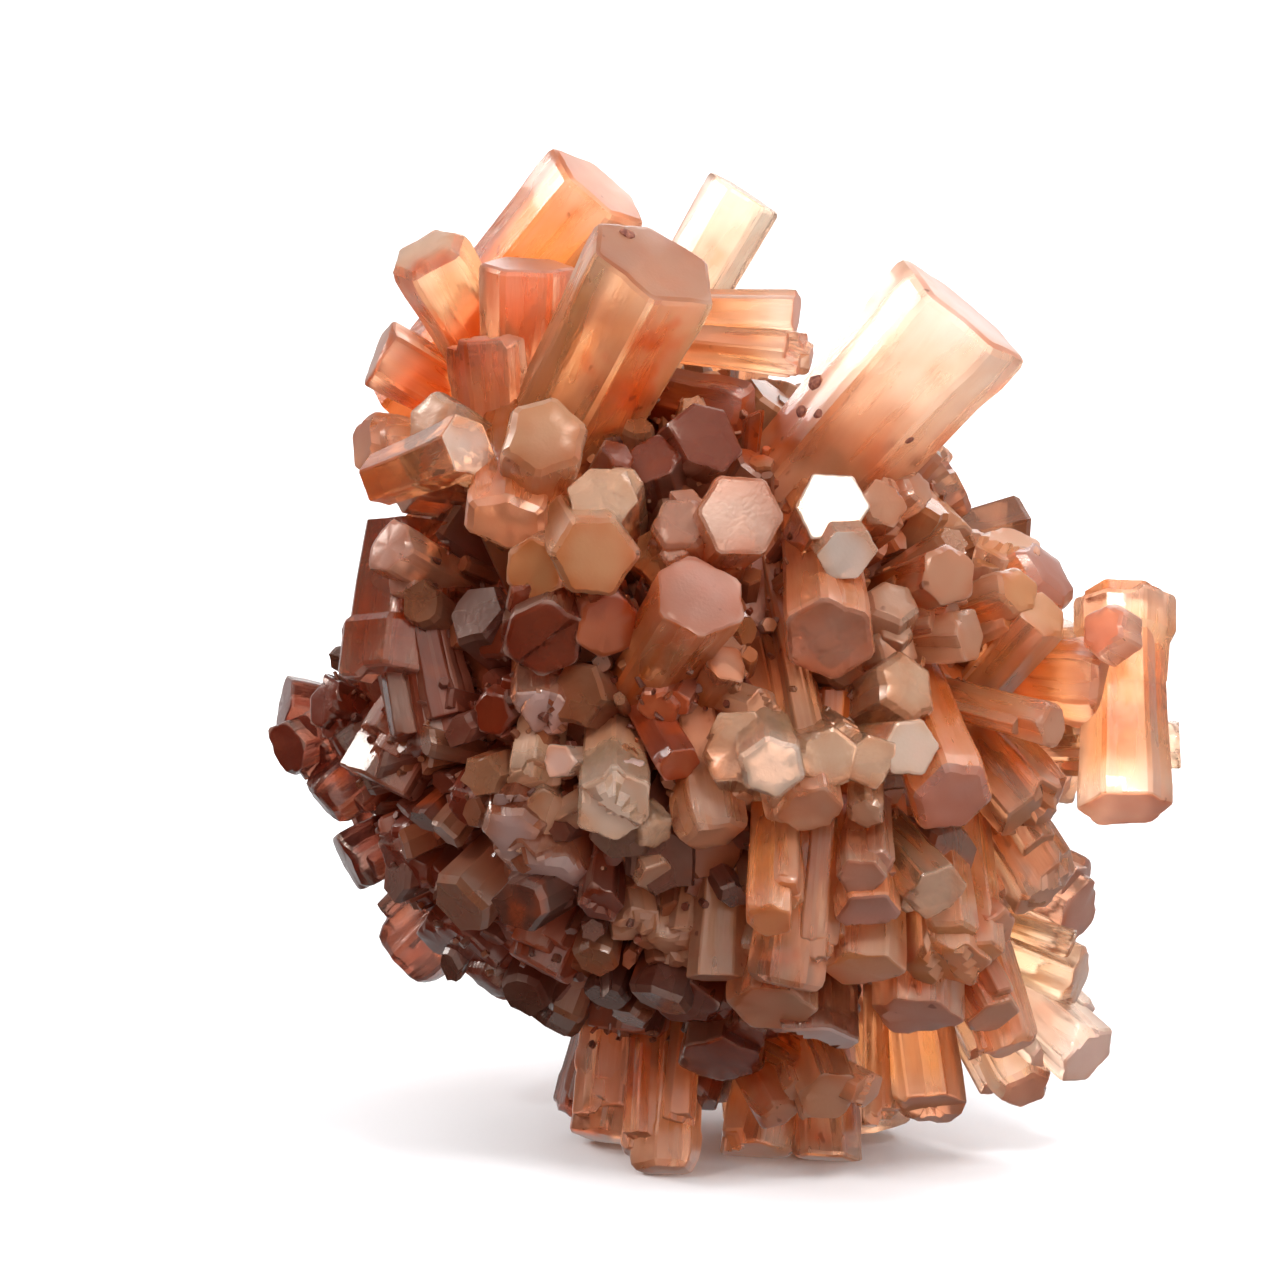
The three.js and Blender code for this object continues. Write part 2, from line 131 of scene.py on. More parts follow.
belly = [
    ("tan", 0.6, -13.2, 26, -82, 62, 6.0, 0.9, 30, None),
    ("honey", 4.8, -19.5, 30, -92, 50, 4.3, 1.0, 0, None),
    ("amber", 6.1, -24.7, 23, -97, 84, 5.9, 0.9, 30, None),
    ("tan", -2.8, -22.6, 18, -100, 68, 5.7, 0.9, 30, None),
    ("tan", 0.9, -24.1, 20, -93, 80, 4.8, 1.0, 30, 14),
    ("russet", -12.7, -23.7, 12, -116, 82, 5.9, 0.9, 30, None),
    ("brown", -17.0, -25.0, 4, -125, 78, 4.4, 1.0, 30, None),
    ("brown", -20.6, -21.8, 2, -125, 72, 5.2, 1.0, 0, None),
    ("umber", -1.9, -26.1, 14, -110, 55, 6.8, 0.9, 0, None),
    ("amber", 5.2, -26.5, 20, -90, 55, 6.8, 0.9, 30, None),
    ("grey", 7.7, -29.4, 16, -88, 66, 8.9, 0.9, 30, None, "broken"),
    ("honey", 12.2, -23.5, 22, -92, 62, 6.7, 0.9, 30, None),
    ("honey", 18.8, -24.0, 20, -85, 60, 6.9, 1.0, 30, None),
    ("rose", 16.5, -27.3, 16, -90, 65, 7.5, 0.9, 30, None),
    ("mauve", 12.6, -19.2, 26, -85, 42, 5.5, 0.9, 30, None),
    ("rose", 11.9, -16.2, 28, -90, 30, 4.1, 0.9, 30, None),
    ("pale", 17.9, -17.5, 26, -50, 38, 5.3, 1.0, 0, None),
]
right_cheek = [
    ("pearl", 5.0, -8.0, 33, -80, 20, 5.5, 1.0, 0, None, "round"),
    ("greige", 2.4, -6.2, 28.5, 120, 22, 6.3, 1.0, 0, None),
    ("greige", 9.4, -7.1, 31, -40, 18, 5.3, 1.0, 0, None),
    ("greige", 12.7, -7.3, 30, -20, 20, 4.5, 1.0, 0, None),
    ("tan", 8.1, -11.2, 30, -80, 48, 5.7, 1.0, 30, None),
    ("pearl", 15.7, -6.2, 29, 0, 22, 4.9, 1.0, 0, None, "level"),
    ("greige", 15.7, -1.5, 26, 30, 32, 6.3, 0.9, 0, None, "round"),
    ("mauve", 19.2, -10.5, 27, -70, 40, 7.2, 1.0, 0, None, "round"),
    ("tan", 12.3, -11.4, 27.5, -90, 34, 3.5, 1.0, 0, None),
    ("amber", 26.4, -12.0, 16, -50, 65, 7.3, 0.9, 30, None, "broken"),
    ("tan", 27.0, -17.9, 13, -58, 62, 6.7, 0.9, 30, None),
    ("rose", 29.5, -19.3, 1, -28, 70, 6.2, 1.0, 0, None),
]
right_flank = [
    ("peach", 32.7, -11.1, 13, -90, 68, 8.0, 0.9, 30, 18.2, "level"),
    ("rose", 30.7, 3.0, 15, 150, 35, 4.7, 1.0, 0, None),
    ("amber", 31.5, -1.5, 11, -5, 68, 7.2, 0.9, 30, None, "round"),
    ("tan", 27.0, -4.6, 21, -15, 58, 4.1, 1.0, 0, None),
    ("mauve", 27.0, 7.5, 9, 38, 66, 7.2, 0.9, 0, None, "round"),
    ("honey", 23.8, 9.8, 8, 75, 68, 5.5, 1.0, 0, None),
    ("honey", 24.5, 5.8, 17, 20, 42, 4.5, 1.0, 0, None),
    ("honey", 26.3, 4.0, 16, 50, 55, 4.9, 1.0, 30, None),
    ("amber", 18.8, 7.1, 23, 20, 28, 5.3, 1.0, 0, None),
    ("tan", 14.5, 5.2, 24, 70, 42, 4.9, 1.0, 30, None),
    ("tan", 20.5, 2.4, 21, 5, 60, 4.6, 1.0, 0, None),
    ("tan", 15.0, 1.6, 23.5, 20, 40, 4.4, 1.0, 20, None),
    ("pale", 37.2, -6.2, 0, 0, 85, 4.0, 1.0, 0, None),
    ("honey", 22.8, 8.2, -3, 27, 92, 7.4, 0.9, 30, None),
    ("amber", 27.0, 4.6, -6, 16, 99, 8.0, 0.9, 10, None),
    ("honey", 30.5, 0.0, -9, 2, 103, 8.2, 0.9, 15, None),
    ("amber", 24.5, 5.8, -14, 22, 118, 8.6, 0.9, 0, None),
    ("honey", 29.5, -7.5, -5, -10, 98, 7.6, 0.9, 0, None),
]
between = [
    ("russet", -1.9, -7.6, 27, -60, 45, 3.6, 1.0, 0, 8),
    ("russet", -3.6, -3.4, 25.5, -120, 35, 3.8, 1.0, 10, 8),
    ("amber", 1.8, 0.2, 26, 60, 35, 3.6, 1.0, 0, 8),
    ("amber", 4.6, -3.4, 27, -20, 35, 3.4, 1.0, 0, 8),
    ("umber", -16.6, 2.4, 21, 180, 40, 4.4, 1.0, 0, 8),
    ("umber", -16.4, -3.6, 21, -150, 35, 4.0, 1.0, 20, 8),
    ("brown", -18.4, -11.4, 17, -120, 55, 4.6, 1.0, 0, 9),
    ("umber", -8.0, -18.6, 21.5, -95, 50, 3.8, 1.0, 30, 8),
    ("tan", -5.2, -20.8, 19, -80, 55, 4.2, 1.0, 0, 8),
    ("tan", -3.6, -16.2, 24, -60, 50, 3.4, 1.0, 20, 8),
    ("amber", 22.4, -27.2, 14, -60, 60, 4.6, 1.0, 0, 9),
    ("amber", 22.6, -20.6, 18, -40, 55, 4.4, 1.0, 0, 9),
]
foot = [
    ("pale", 29.4, -24.1, 4, -22, 72, 5.3, 1.0, 0, None),
    ("cream", 30.0, -30.6, 2, -42, 65, 5.9, 1.0, 30, None),
    ("peach", 25.2, -33.3, 0, -62, 55, 5.1, 1.0, 30, None),
    ("honey", 24.0, -29.8, 9, -75, 78, 4.2, 1.0, 30, 18),
    ("amber", 12.9, -33.0, 11, -25, 62, 3.4, 1.0, 0, 8),
    ("amber", 17.7, -35.0, 0, -82, 72, 6.5, 0.9, 30, None),
    ("honey", 13.9, -35.9, -1, -90, 78, 3.6, 1.0, 0, None),
    ("amber", 9.8, -33.5, 11, -70, 42, 5.1, 1.0, 0, None),
    ("honey", 9.5, -38.8, -2, -88, 76, 6.4, 0.9, 30, None),
    ("honey", 4.0, -38.2, -2, -100, 72, 6.4, 0.9, 0, None),
    ("amber", 5.9, -35.0, 8, -60, 50, 3.9, 1.0, 0, None),
    ("umber", 1.3, -30.8, 10, -100, 52, 7.3, 0.9, 0, None),
    ("umber", -0.8, -34.0, 2, -110, 62, 4.0, 1.0, 0, None),
]
stand = [
    ("amber", -7.6, -37.2, -6, -98, 80, 7.0, 0.9, 10, None),
    ("amber", -4.5, -36.2, -14, -95, 108, 6.2, 1.0, 30, None),
    ("honey", 5.0, -36.6, -12, -85, 106, 7.4, 0.9, 20, None),
    ("honey", 13.5, -36.2, -10, -75, 100, 6.0, 1.0, 0, None),
    ("brown", -9.4, -35.6, -11, -104, 100, 5.6, 1.0, 30, None),
    ("amber", -3.0, -39.6, 3, -94, 78, 5.8, 1.0, 20, None),
]
broken_back = [
    ("peach", 32.7, 6.4, 5.9, 90, 110, 7.8, 0.9, 30, 8, "broken"),
]
placed = crown + shoulder + face + left_flank + belly + right_cheek + right_flank + between + foot + stand

# Each crystal's root is this share as wide as its end, and reaches in to this share of the heart's radius.
# Its corners are uneven by up to this share of the width and this many degrees.
HEART_RADIUS = 24.2
HEART_MIDDLE = Vector((-1.5, -3.2, 0))
ROOT_TAPER = 0.8
ROOT_DEPTH = 0.75
CORNER_PUSH = 0.09
CORNER_SWING = 5

# The whole cluster leans back by this much and stands on its lowest crystals, with its middle this far
# above the floor. The rows are in millimetres, so what they give is scaled when it goes into a mesh.
LEAN_BACK = math.radians(12)
STANDING = Matrix((
    (1, 0, 0, -1.6),
    (0, math.sin(LEAN_BACK), -math.cos(LEAN_BACK), -0.23),
    (0, math.cos(LEAN_BACK), math.sin(LEAN_BACK), 38.2),
    (0, 0, 0, 1),
))
MM = 0.001


def chance(seed):
    """A number from 0 to 1 that is always the same for the same seed."""
    return (math.sin(seed * 12.9898) * 43758.5453) % 1


def back_rows(points=82, first_turn=330, belt=(-0.19, 0.3)):
    """The sides and the back: points spread evenly over a ball, with a crystal straight out through each.
    Those in the belt between the back and the placed crystals are short."""
    rows = []
    light_tones = ("amber", "honey", "tan", "peach", "russet", "rose", "honey", "amber")
    shade_tones = ("russet", "brown", "umber", "russet", "umber", "umber", "brown", "russet")
    for i in range(points):
        z = (2 * (i + 0.5)) / points - 1
        if z >= belt[1]:
            continue
        ring = math.sqrt(1 - z * z)
        turn = math.radians(first_turn) + math.pi * (3 - math.sqrt(5)) * i
        point = (ring * math.cos(turn), ring * math.sin(turn), z)
        seed = i * 7
        uneven = [2 * chance(seed + salt) - 1 for salt in (0.1, 0.2, 0.3, 0.6)]
        long = z < belt[0]
        reach = (30, 31.5, 33) if long else (26, 26, 26)
        far = 1 + 0.1 * uneven[0] if long else 1
        smallest, widest = (6.4, 12) if long else (6, 9)
        end = [HEART_MIDDLE[k] + reach[k] * point[k] * far for k in range(3)]
        heading = math.degrees(math.atan2(point[1], point[0])) + 6 * uneven[1]
        tilt = math.degrees(math.acos(z)) + 6 * uneven[2]
        width = smallest + (widest - smallest) * chance(seed + 0.4) ** 1.5
        # Those on the lower left take dark tones, as painted shade.
        in_shade = point[0] + 0.6 * point[1] < -0.35
        tone = (shade_tones if in_shade else light_tones)[int(chance(seed + 0.9) * 8)]
        thick = 0.9 + 0.1 * uneven[3]
        rows.append((tone, *end, heading, tilt, width, thick, 60 * chance(seed + 0.7), None))
    return rows


def crystal_place(row):
    """Where a crystal stands, x and y across its section and z along it from its end, and its length."""
    _, across, up, near, heading, tilt, _, _, _, length = row[:10]
    h, t = math.radians(heading), math.radians(tilt)
    along = Vector((math.sin(t) * math.cos(h), math.sin(t) * math.sin(h), math.cos(t)))
    side = Vector((-math.sin(h), math.cos(h), 0))
    depth = side.cross(along)
    end = Vector((across, up, near))
    out = end - HEART_MIDDLE
    nearest = out.dot(along)
    off = math.sqrt(max(out.length_squared - nearest * nearest, 0))
    deep = ROOT_DEPTH * HEART_RADIUS
    to_heart = nearest - math.sqrt(deep * deep - off * off) if off < deep else nearest
    turned = Matrix((depth, side, along)).transposed().to_4x4()
    return Matrix.Translation(end) @ turned, max(length or 0, to_heart)


def crystal_section(width, thick, spin, seed):
    """Points round the section: six uneven corners, worn a little, and a twin's groove on some sides."""
    corners = []
    for i in range(6):
        push = 1 + CORNER_PUSH * (2 * chance(seed + i) - 1)
        swing = CORNER_SWING * (2 * chance(seed + i + 0.5) - 1)
        angle = math.radians(spin + swing + 60 * i)
        corners.append(Vector((thick * math.cos(angle), math.sin(angle))) * push * width / 2)
    worn = 0.04 + 0.05 * chance(seed + 3.3)
    outline = []
    for i in range(6):
        a, b = corners[i], corners[(i + 1) % 6]
        groove = (0.02 + 0.04 * chance(seed + i + 7.7)) * (chance(seed + i + 20.2) < 0.35)
        for step, low in ((worn, 0), (0.34, 0.02 * chance(seed + i * 7.7)), (0.5, groove),
                          (0.66, 0.02 * chance(seed + i * 9.1)), (1 - worn, 0)):
            outline.append(a.lerp(b, step) * (1 - low))
    return outline


def crystal_mesh(row, seed):
    """One crystal: its section drawn out, thinner at the root, with a level, round or broken end."""
    width, thick, spin = row[6:9]
    place, length = crystal_place(row)
    outline = crystal_section(width, thick, spin, seed)
    count = len(outline)

    # An end that isn't given is drawn by lot. It is more chipped and slopes more than one that is.
    end_given = len(row) > 10
    luck = chance(seed + 77.7)
    if end_given:
        end = row[10]
    else:
        end = "broken" if luck < 0.08 else "round" if luck < 0.3 else "level"
    edge = chance(seed + 8.8)
    worn = width * (0.13 + 0.09 * edge if end == "round" else 0.025 + 0.04 * edge)
    breaks = []
    for i in range(3 if end == "broken" else 1 if luck > 0.75 and not end_given else 0):
        turn = math.radians(360 * chance(seed + i + 50.3))
        off = width * (0.5 * chance(seed + i + 51.3) - 0.15)
        drop = width * (0.06 + 0.1 * chance(seed + i + 52.3))
        breaks.append((Vector((math.cos(turn), math.sin(turn))), off, drop))
    chips = [(0.04 if end_given else 0.3) * width * chance(seed + i + 60.5) ** 4 for i in range(6)]
    slope = Vector((chance(seed + 30.1) - 0.5, chance(seed + 31.1) - 0.5)) * (0.08 if end_given else 0.2)

    def lower(k, share):
        """How far the end lies below its middle at a point round it: chips, breaks and its whole slope."""
        chipped = sum(c * max(0, 1 - min((k - 5 * i + 0.5) % count, (5 * i - 0.5 - k) % count) / 3)
                      for i, c in enumerate(chips))
        broke = sum(drop for line, off, drop in breaks if line.dot(outline[k]) * share > off)
        return chipped * max(0, 4 * share - 3) + broke + slope.dot(outline[k]) * share

    # Rings of points: up the sides from the root, over the worn edge, and in across the end.
    deepest = worn + max(chips) + sum(drop for _, _, drop in breaks) + 0.1 * width + 0.4
    rings = []
    for share in (1, 0.62, 0.4, 0.2):
        if share * length < 1.1 * deepest:
            continue
        scale = 1 - (1 - ROOT_TAPER) * share
        wave = 1 - 0.02 * chance(seed + share * 10) if share < 1 else 1
        rings.append([Vector((p.x * scale * wave, p.y * scale * wave, -length * share)) for p in outline])
    rings.append([Vector((p.x, p.y, -deepest)) for p in outline])
    for turn in (0, 30, 60, 90) if end == "round" else (0, 45, 90):
        inset = worn * (1 - math.cos(math.radians(turn)))
        drop = worn * (1 - math.sin(math.radians(turn)))
        rings.append([Vector((*(p * (1 - inset / p.length)), -drop - lower(k, 1 - inset / p.length)))
                      for k, p in enumerate(outline)])
    for share in (0.3,) if end == "round" else (0.84, 0.66, 0.45, 0.22) if breaks else (0.78,):
        rings.append([Vector((p.x * share, p.y * share, -lower(k, share))) for k, p in enumerate(outline)])
    mesh = bmesh.new()
    made = [[mesh.verts.new(place @ p) for p in ring] for ring in rings]
    for low, high in zip(made, made[1:]):
        for k in range(count):
            n = (k + 1) % count
            mesh.faces.new((low[k], low[n], high[n], high[k]))
    mesh.faces.new(made[0][::-1])
    middle = mesh.verts.new(place @ Vector((0, 0, -sum(drop for _, off, drop in breaks if off < 0))))
    for k in range(count):
        mesh.faces.new((made[-1][k], made[-1][(k + 1) % count], middle))
    return mesh


def with_companions(rows):
    """The crystals with their seeds, and thinner ones grown up against those whose end isn't given."""
    grown = [(row, i * 11) for i, row in enumerate(rows)]
    for i, row in enumerate(rows):
        tone, _, _, _, heading, tilt, width, thick, spin, _ = row[:10]
        seed = i * 11 + 300
        if width < 3.8 or len(row) > 10:
            continue
        place, own = crystal_place(row)
        for k in range(int(0.6 + 3.6 * chance(seed))):
            turn = math.radians(spin + 60 * int(6 * chance(seed + k + 0.15)) + 40 * chance(seed + k + 0.25))
            share = 0.4 + 0.3 * chance(seed + k + 0.35)
            off = (0.6 - 0.38 * share) * width
            drop = (0.08 + 0.6 * chance(seed + k + 0.45)) * min(width, own * 0.5)
            at = place @ Vector((off * thick * math.cos(turn), off * math.sin(turn), -drop))
            grown.append(((
                tone, *at, heading + 6 * chance(seed + k) - 3, tilt + 5 * chance(seed + k + 0.5) - 2.5,
                share * width, 0.95, spin + 10 * chance(seed + k + 0.55), own - drop,
            ), seed + 0.5 * k))
    return grown


grown_rows = with_companions(placed + back_rows() + broken_back)
crystals = [row for row, _ in grown_rows]
growing = bpy.data.collections.new("growing")
for i, (row, seed) in enumerate(grown_rows):
    grown = crystal_mesh(row, seed)
    mesh = bpy.data.meshes.new(f"crystal_{i}")
    grown.to_mesh(mesh)
    grown.free()
    mesh.transform(Matrix.Scale(MM, 4) @ STANDING)
    mark = mesh.attributes.new("crystal", "INT", "FACE")
    mark.data.foreach_set("value", [i + 1] * len(mesh.polygons))
    growing.objects.link(bpy.data.objects.new(mesh.name, mesh))

# The heart itself is smaller than the ball that the crystals' lengths are worked out from, so that there
# are deep clefts between them.
BARE_HEART = 21.4
heart = bmesh.new()
bmesh.ops.create_icosphere(heart, subdivisions=5, radius=BARE_HEART)
for v in heart.verts:
    v.co = STANDING @ (v.co + HEART_MIDDLE) * MM
mesh = bpy.data.meshes.new("heart")
heart.to_mesh(mesh)
heart.free()
mesh.attributes.new("crystal", "INT", "FACE")
growing.objects.link(bpy.data.objects.new("heart", mesh))


def add(tree, kind, inputs=None, **settings):
    """One node of a tree, with its settings and inputs. An input that is another node's socket is linked."""
    made = tree.nodes.new(kind)
    for name, value in settings.items():
        setattr(made, name, value)
    for name, value in (inputs or {}).items():
        if isinstance(value, bpy.types.NodeSocket):
            tree.links.new(value, made.inputs[name])
        else:
            made.inputs[name].default_value = value
    return made


# Grown together: all of them joined into one, and the lowest cut level with the floor. Sizes are in metres.
FLOOR_THICKNESS = 0.02
joining = bpy.data.node_groups.new("grown_together", "GeometryNodeTree")
joining.interface.new_socket("Geometry", in_out="INPUT", socket_type="NodeSocketGeometry")
floor_size = joining.interface.new_socket("Floor size", in_out="INPUT", socket_type="NodeSocketFloat")
floor_size.default_value = 0.2
joining.interface.new_socket("Geometry", in_out="OUTPUT", socket_type="NodeSocketGeometry")
given = add(joining, "NodeGroupInput").outputs
each = add(joining, "GeometryNodeCollectionInfo", {"Collection": growing, "Separate Children": True})
joined = add(joining, "GeometryNodeMeshBoolean", {1: each.outputs[0]}, operation="UNION", solver="MANIFOLD")
slab_size = add(joining, "ShaderNodeCombineXYZ", {"X": given[1], "Y": given[1], "Z": FLOOR_THICKNESS})
slab = add(joining, "GeometryNodeMeshCube", {"Size": slab_size.outputs[0]})
below = add(joining, "GeometryNodeTransform", {
    "Geometry": slab.outputs[0], "Translation": (0, 0, -FLOOR_THICKNESS / 2),
})
cut = add(joining, "GeometryNodeMeshBoolean", {0: joined.outputs[0], 1: below.outputs[0]},
          operation="DIFFERENCE", solver="MANIFOLD")
add(joining, "NodeGroupOutput", {0: cut.outputs[0]})

host = bpy.data.objects.new("crystals", bpy.data.meshes.new("host"))
bpy.context.scene.collection.objects.link(host)
host.modifiers.new("grown_together", "NODES").node_group = joining
whole = bpy.data.meshes.new_from_object(host.evaluated_get(bpy.context.evaluated_depsgraph_get()))
bpy.data.objects.remove(host)
cluster = bpy.data.objects.new("crystals", whole)
bpy.context.scene.collection.objects.link(cluster)
for thing in list(growing.objects):
    bpy.data.objects.remove(thing)


def values_of(data, name, shape, kind=float):
    """One value of every item of a mesh, such as its vertices' places, as an array."""
    values = np.zeros(shape, kind)
    data.foreach_get(name, values.ravel())
    return values


# Growth left every face a little uneven, apart from the ends that stand on the floor.
NEAR_FLOOR = 0.0004
EDGE_ANGLE = math.radians(20)
UNEVEN_BY = 0.00007
WAVES_PER_METRE = 260
points = values_of(whole.vertices, "co", (len(whole.vertices), 3))
seed_set(4)
uneven = np.array([noise_vector(Vector(p) * WAVES_PER_METRE) for p in points]) * UNEVEN_BY
uneven[points[:, 2] < NEAR_FLOOR] = 0
points += uneven
whole.vertices.foreach_set("co", points.ravel())
whole.update()
whole.shade_smooth()
whole.set_sharp_from_angle(angle=EDGE_ANGLE)


def srgb(red, green, blue):
    """A colour given as it looks on screen, 0 to 255, for a shader."""
    return [c / 3294.6 if c <= 10.31 else ((c / 255 + 0.055) / 1.055) ** 2.4 for c in (red, green, blue)]


# Each tone: the sides' colour, the end's colour, how milky the sides are, how clear, how stained, and how
# glossy its end is. The dark tones, umber, brown and russet, are partly the crystals' own rust and partly
# painted shade, for crystals in hollows and on the lower left.
tones = {
    "amber": ((246, 150, 74), (220, 158, 122), 0.4, 0.3, 0.5, 0.3),
    "apricot": ((254, 206, 152), (190, 128, 92), 0.6, 0.3, 0.5, 0.1),
    "honey": ((250, 168, 100), (236, 166, 112), 0.5, 0.25, 0.35, 0.3),
    "cream": ((253, 220, 190), (252, 216, 204), 0.9, 0.3, 0.25, 0.2),
    "peach": ((252, 184, 124), (234, 168, 140), 0.8, 0.3, 0.25, 0.3),
    "rose": ((244, 166, 116), (216, 156, 134), 0.5, 0.3, 0.3, 0.3),
    "rosy": ((240, 140, 74), (208, 150, 126), 0.2, 0.2, 0.3, 0.35),
    "mauve": ((242, 140, 66), (206, 152, 138), 0.2, 0.2, 0.3, 0.3),
    "tan": ((230, 158, 102), (216, 166, 136), 0.4, 0.3, 0.2, 0.3),
    "beige": ((236, 162, 98), (226, 162, 116), 0.4, 0.2, 0.3, 0.2),
    "greige": ((232, 180, 130), (236, 192, 158), 0.4, 0.35, 0.1, 0.5),
    # The pale ends of grey and lilac are partly a painted sheen, standing in for reflections on those faces.
    "grey": ((172, 96, 60), (200, 172, 168), 0.1, 0.3, 0.2, 0.6),
    "lilac": ((196, 120, 80), (226, 204, 196), 0.2, 0.3, 0.2, 0.7),
    "smoky": ((204, 92, 40), (196, 138, 122), 0.3, 0.35, 0.7, 0.7),
    "umber": ((134, 48, 20), (114, 44, 22), 0.05, 0.3, 0.3, 0.35),
    "russet": ((176, 68, 22), (180, 92, 54), 0.1, 0.3, 0.5, 0.3),
    "brown": ((118, 36, 16), (120, 52, 38), 0.05, 0.3, 0.3, 0.5),
    "glassy": ((244, 184, 126), (248, 206, 172), 0.4, 0.4, 0.3, 0.4),
    "clear": ((252, 226, 196), (252, 226, 200), 0.3, 0.55, 0.2, 0.4),
    # Painted glint: this tone's near-white end stands in for a highlight on the face.
    "glint": ((244, 166, 104), (255, 236, 222), 0.4, 0.3, 0.2, 1.0),
    "pearl": ((252, 212, 166), (255, 228, 206), 0.6, 0.3, 0.1, 0.5),
    "pale": ((252, 196, 136), (238, 190, 158), 0.6, 0.4, 0.1, 0.4),
}

# What the finish reads on each corner of the mesh: its crystal's tone, its place in the crystal's own
# grain, whether it is on an end, and how near the rim. The heart counts as crystal 0.
heart_tone = ((150, 78, 40), (150, 78, 40), 0.1, 0.1, 0.8, 0.1)
corner_count = len(whole.loops)
ids = values_of(whole.attributes["crystal"].data, "value", len(whole.polygons), int)
sizes = values_of(whole.polygons, "loop_total", len(whole.polygons), int)
normals = values_of(whole.polygons, "normal", (len(whole.polygons), 3))
corner_vertex = values_of(whole.loops, "vertex_index", corner_count, int)
corner_ids = np.repeat(ids, sizes)
corner_face = np.repeat(np.arange(len(ids)), sizes)

places = [STANDING @ Matrix.Translation(HEART_MIDDLE)]
places += [STANDING @ crystal_place(row)[0] for row in crystals]
inverse = np.array([np.array(p.inverted()) for p in places])
corner_at = np.c_[points[corner_vertex] / MM, np.ones(corner_count)]
grain = np.einsum("nij,nj->ni", inverse[corner_ids], corner_at)[:, :3]
facing = np.einsum("nij,nj->ni", inverse[ids][:, :3, :3], normals)
on_end = np.clip((facing[:, 2] - 0.25) / 0.6, 0, 1) * (ids > 0)
widths = np.array([2 * HEART_RADIUS] + [row[6] for row in crystals])
rim = np.hypot(grain[:, 0], grain[:, 1]) / (widths[corner_ids] / 2)

# Each side of a crystal is up to this much creamier or more burnt than its tone.
SIDE_CHANGE = 0.22
creamy = np.array(srgb(252, 222, 194))
burnt = np.array(srgb(196, 84, 26))
side_number = np.floor((np.degrees(np.arctan2(facing[:, 1], facing[:, 0])) + 360) / 60).astype(int)
side_chance = np.array([[chance(k * 5.7 + side * 1.3) for side in range(13)] for k in range(len(places))])
side_lift = (2 * side_chance[ids, side_number] - 1)[corner_face][:, None]
toning = [heart_tone] + [tones[row[0]] for row in crystals]
toned = np.array([[*srgb(*body), *srgb(*end), *rest] for body, end, *rest in toning])[corner_ids]
sides_tone = toned[:, 0:3]
sides_tone = np.where(side_lift > 0, sides_tone + (creamy - sides_tone) * SIDE_CHANGE * side_lift,
                      sides_tone - (burnt - sides_tone) * SIDE_CHANGE * side_lift)
is_end = on_end[corner_face] > 0.5
colour = np.c_[np.where(is_end[:, None], toned[:, 3:6], sides_tone), np.ones(corner_count)]
shift = np.array([chance(k * 3.1) for k in range(len(places))])[corner_ids] * 50


def give(name, values, kind="FLOAT"):
    """A value on each corner of the cluster that the finish reads by this name."""
    made = whole.attributes.new(name, kind, "CORNER")
    field = {"FLOAT": "value", "FLOAT_VECTOR": "vector", "FLOAT_COLOR": "color"}[kind]
    made.data.foreach_set(field, np.ascontiguousarray(values, np.float32).ravel())


give("tone", colour, "FLOAT_COLOR")
give("grain", grain + np.c_[shift, shift, np.zeros(corner_count)], "FLOAT_VECTOR")
give("on_end", on_end[corner_face])
give("rim", rim)
for column, name in enumerate(("milky", "clear", "stained", "gloss"), 6):
    give(name, toned[:, column])
whole.attributes.remove(whole.attributes["crystal"])

# The finish: see-through crystal, milky in places, stained by rust, and darker in the clefts, partly as
# painted shade. Round the rims of the ends it has a painted glow and a painted pale rim. Its sides are
# glossy and ribbed by growth, and its ends are frosted.
finish = bpy.data.materials.new("aragonite")
finish.use_nodes = True
shade = finish.node_tree
shade.nodes.clear()


def math_node(tree, operation, a, b, clamp=False):
    """A sum, product or the like of two numbers. Each can be another node's socket."""
    return add(tree, "ShaderNodeMath", {0: a, 1: b}, operation=operation, use_clamp=clamp).outputs[0]


def times(tree, a, b, clamp=False):
    """Two numbers multiplied."""
    return math_node(tree, "MULTIPLY", a, b, clamp)


def ramp(tree, value, low, high, start=0.0, end=1.0):
    """Start up to low, end from high on, and smooth between."""
    limits = {"Value": value, "From Min": low, "From Max": high, "To Min": start, "To Max": end}
    return add(tree, "ShaderNodeMapRange", limits, interpolation_type="SMOOTHSTEP").outputs[0]


def mixed(tree, share, a, b):
    """Number a turned into number b by the share."""
    return add(tree, "ShaderNodeMix", {0: share, 2: a, 3: b}).outputs[0]


def blend(tree, share, a, b, mode="MIX"):
    """Colour a turned into colour b by the share."""
    a, b = ((*c, 1) if isinstance(c, (list, tuple)) else c for c in (a, b))
    return add(tree, "ShaderNodeMix", {0: share, 6: a, 7: b}, data_type="RGBA", blend_type=mode).outputs[2]


def read(tree, name, output="Fac"):
    """What the mesh holds by this name."""
    return add(tree, "ShaderNodeAttribute", attribute_name=name).outputs[output]


def noise(tree, vector, scale, detail=2, rough=0.5):
    """Clouds from 0 to 1. A larger scale makes them smaller, and more detail makes their edges finer."""
    clouds = {"Vector": vector, "Scale": scale, "Detail": detail, "Roughness": rough}
    return add(tree, "ShaderNodeTexNoise", clouds).outputs["Fac"]


